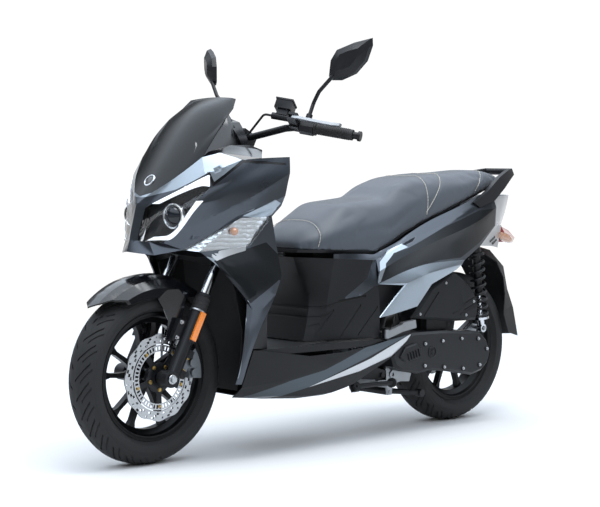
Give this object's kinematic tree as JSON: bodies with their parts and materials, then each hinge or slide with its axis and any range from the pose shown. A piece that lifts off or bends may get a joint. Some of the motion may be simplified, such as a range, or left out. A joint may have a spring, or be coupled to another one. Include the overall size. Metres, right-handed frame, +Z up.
{
  "type": "moped scooter",
  "caption": "Step-through moped scooter with a steering front end, sprung fork and swinging engine unit, hinged seat over a storage bucket, levers, mirrors, folding pegs and stands.",
  "frame": {"origin": "centre of the footprint box, on the ground under both tyres", "axes": "+X forward along the wheelbase, +Y to the rider's left, +Z up"},
  "size_m": [2.011, 0.7548, 1.276],
  "materials": {
    "graphite_paint": "satin metallic",
    "accent_grey": "satin metallic",
    "gloss_black": "gloss",
    "tail_pale": "satin",
    "black_plastic": "fine grain",
    "screen_tint": "tinted clear",
    "lamp_clear": "clear",
    "lamp_red": "clear",
    "black_steel": "satin",
    "bright_steel": "ground",
    "black_spring": "gloss",
    "cast_alloy": "cast",
    "black_alloy": "satin paint",
    "silver_alloy": "satin",
    "exhaust_steel": "heat-proof paint",
    "black_rubber": "matt",
    "tyre_rubber": "matt",
    "seat_cover": "grained",
    "control_plastic": "satin",
    "mirror_black": "gloss",
    "key_metal": "polished"
  },
  "bodies": {
    "chassis": {"main_frame": "black_steel", "front_cowl": "graphite_paint", "windshield": "screen_tint", "screen_cowl": "gloss_black", "headlight_lenses": "lamp_clear", "headlight_units": "black_plastic", "indicator_lenses": "lamp_clear", "leg_shields": "graphite_paint", "inner_shield": "black_plastic", "wheel_liner": "black_plastic", "floorboard": "black_plastic", "side_skirts": "black_plastic", "tunnel_cover": "black_plastic", "side_panels": "graphite_paint", "side_accents": "accent_grey", "tail_cowl": "tail_pale", "tail_light": "lamp_red", "grab_rail": "black_plastic", "rear_mudguard": "black_plastic", "storage_bin": "black_plastic", "fuel_tank": "black_plastic", "instrument_cluster": "black_plastic"},
    "key": {"key_switch": "key_metal"},
    "seat": {"seat_cushion": "seat_cover", "seat_base": "black_plastic"},
    "steering": {"steering_stem": "black_steel", "fork_stanchions": "bright_steel", "handlebar": "black_steel", "switchgear": "black_plastic", "brake_reservoirs": "black_steel", "brake_hoses": "black_rubber", "grip_left": "black_rubber"},
    "throttle": {"throttle_grip": "black_rubber"},
    "left_lever": {"brake_lever_left": "silver_alloy"},
    "right_lever": {"brake_lever_right": "silver_alloy"},
    "horn": {"horn_button": "control_plastic"},
    "turn_switch": {"turn_switch": "control_plastic"},
    "starter": {"starter_button": "control_plastic"},
    "left_mirror": {"mirror_left": "mirror_black"},
    "right_mirror": {"mirror_right": "mirror_black"},
    "fork": {"fork_sliders": "black_alloy", "front_mudguard": "graphite_paint", "front_caliper": "cast_alloy"},
    "front_wheel": {"front_rim": "black_alloy", "front_tyre": "tyre_rubber", "front_disc": "bright_steel"},
    "swing_unit": {"engine": "cast_alloy", "cvt_cover": "black_plastic", "air_filter_box": "black_plastic", "exhaust": "exhaust_steel"},
    "rear_wheel": {"rear_rim": "black_alloy", "rear_tyre": "tyre_rubber", "rear_disc": "bright_steel"},
    "shocks": {"shock_bodies": "black_alloy", "shock_springs": "black_spring"},
    "shock_rods": {"shock_rods": "bright_steel"},
    "centre_stand": {"centre_stand": "black_steel"},
    "side_stand": {"side_stand": "black_steel"},
    "left_peg": {"footpeg_left": "silver_alloy"},
    "right_peg": {"footpeg_right": "silver_alloy"}
  },
  "joints": [
    {"name": "steering", "type": "hinge", "parent": "chassis", "child": "steering", "pos_m": [0.70519, 0, 0.24248], "axis": [-0.454, 0, 0.891], "range_deg": [-35, 35]},
    {"name": "front_fork", "type": "slide", "parent": "steering", "child": "fork", "axis": [-0.454, 0, 0.891], "range_m": [0, 0.06], "stiffness_N_per_m": 9000, "springref_m": -0.08},
    {"name": "front_wheel_spin", "type": "hinge", "parent": "fork", "child": "front_wheel", "pos_m": [0.7435, 0, 0.262], "axis": [0, 1, 0], "continuous": true},
    {"name": "swing_unit_pivot", "type": "hinge", "parent": "chassis", "child": "swing_unit", "pos_m": [-0.1715, 0, 0.2], "axis": [0, 1, 0], "range_deg": [0, 7], "stiffness_Nm_per_rad": 5200, "springref_deg": -5.73},
    {"name": "rear_wheel_spin", "type": "hinge", "parent": "swing_unit", "child": "rear_wheel", "pos_m": [-0.6265, 0, 0.262], "axis": [0, 1, 0], "continuous": true},
    {"name": "shock_swivel", "type": "hinge", "parent": "chassis", "child": "shocks", "pos_m": [-0.6265, 0, 0.64], "axis": [0, 1, 0], "range_deg": [-2.3, 0.2]},
    {"name": "shock_stroke", "type": "slide", "parent": "shocks", "child": "shock_rods", "axis": [0.153, 0, 0.9882], "range_m": [0, 0.063], "deforming": ["shock_springs"]},
    {"name": "throttle_twist", "type": "hinge", "parent": "steering", "child": "throttle", "pos_m": [0.29378, -0.24116, 1.00158], "axis": [-0.4557, -0.8756, -0.1601], "range_deg": [0, 70], "stiffness_Nm_per_rad": 0.5, "springref_deg": -22.92},
    {"name": "left_brake_lever", "type": "hinge", "parent": "steering", "child": "left_lever", "pos_m": [0.35485, 0.20773, 1.03219], "axis": [-0.4528, -0.0731, 0.8886], "range_deg": [0, 8], "stiffness_Nm_per_rad": 8, "springref_deg": -5.73},
    {"name": "right_brake_lever", "type": "hinge", "parent": "steering", "child": "right_lever", "pos_m": [0.35485, -0.20773, 1.03219], "axis": [0.4528, -0.0731, -0.8886], "range_deg": [0, 8], "stiffness_Nm_per_rad": 8, "springref_deg": -5.73},
    {"name": "horn_press", "type": "slide", "parent": "steering", "child": "horn", "axis": [0.7664, 0.4774, 0.4298], "range_m": [0, 0.002], "stiffness_N_per_m": 800, "springref_m": -0.002},
    {"name": "turn_signal_slide", "type": "slide", "parent": "steering", "child": "turn_switch", "axis": [-0.4557, 0.8756, -0.1601], "range_m": [-0.003, 0.003], "stiffness_N_per_m": 500},
    {"name": "starter_press", "type": "slide", "parent": "steering", "child": "starter", "axis": [0.7664, -0.4774, 0.4298], "range_m": [0, 0.002], "stiffness_N_per_m": 800, "springref_m": -0.002},
    {"name": "left_mirror_turn", "type": "hinge", "parent": "steering", "child": "left_mirror", "pos_m": [0.29659, 0.21279, 1.02577], "axis": [-0.4528, -0.0731, 0.8886], "range_deg": [-20, 20]},
    {"name": "right_mirror_turn", "type": "hinge", "parent": "steering", "child": "right_mirror", "pos_m": [0.29659, -0.21279, 1.02577], "axis": [-0.4528, 0.0731, 0.8886], "range_deg": [-20, 20]},
    {"name": "centre_stand_pivot", "type": "hinge", "parent": "swing_unit", "child": "centre_stand", "pos_m": [-0.2305, 0, 0.138], "axis": [0, -1, 0], "range_deg": [0, 95], "stiffness_Nm_per_rad": 2, "springref_deg": -68.75},
    {"name": "side_stand_pivot", "type": "hinge", "parent": "chassis", "child": "side_stand", "pos_m": [-0.0265, 0.128, 0.178], "axis": [0, -0.891, -0.454], "range_deg": [0, 100], "stiffness_Nm_per_rad": 0.6, "springref_deg": -68.75},
    {"name": "left_peg_fold", "type": "hinge", "parent": "chassis", "child": "left_peg", "pos_m": [-0.0885, 0.2, 0.35], "axis": [0, 0, -1], "range_deg": [0, 80]},
    {"name": "right_peg_fold", "type": "hinge", "parent": "chassis", "child": "right_peg", "pos_m": [-0.0885, -0.2, 0.35], "axis": [0, 0, 1], "range_deg": [0, 80]},
    {"name": "seat_hinge", "type": "hinge", "parent": "chassis", "child": "seat", "pos_m": [0.2095, 0, 0.608], "axis": [0, 1, 0], "range_deg": [0, 58]},
    {"name": "key_turn", "type": "hinge", "parent": "chassis", "child": "key", "pos_m": [0.3575, -0.092, 0.8], "axis": [1, 0, 0], "range_deg": [0, 90]}
  ],
  "couplings": [
    {"joint": "shock_swivel", "follows": "swing_unit_pivot", "ratio": -0.2991},
    {"joint": "shock_stroke", "follows": "swing_unit_pivot", "m_per_rad": 0.51209}
  ]
}
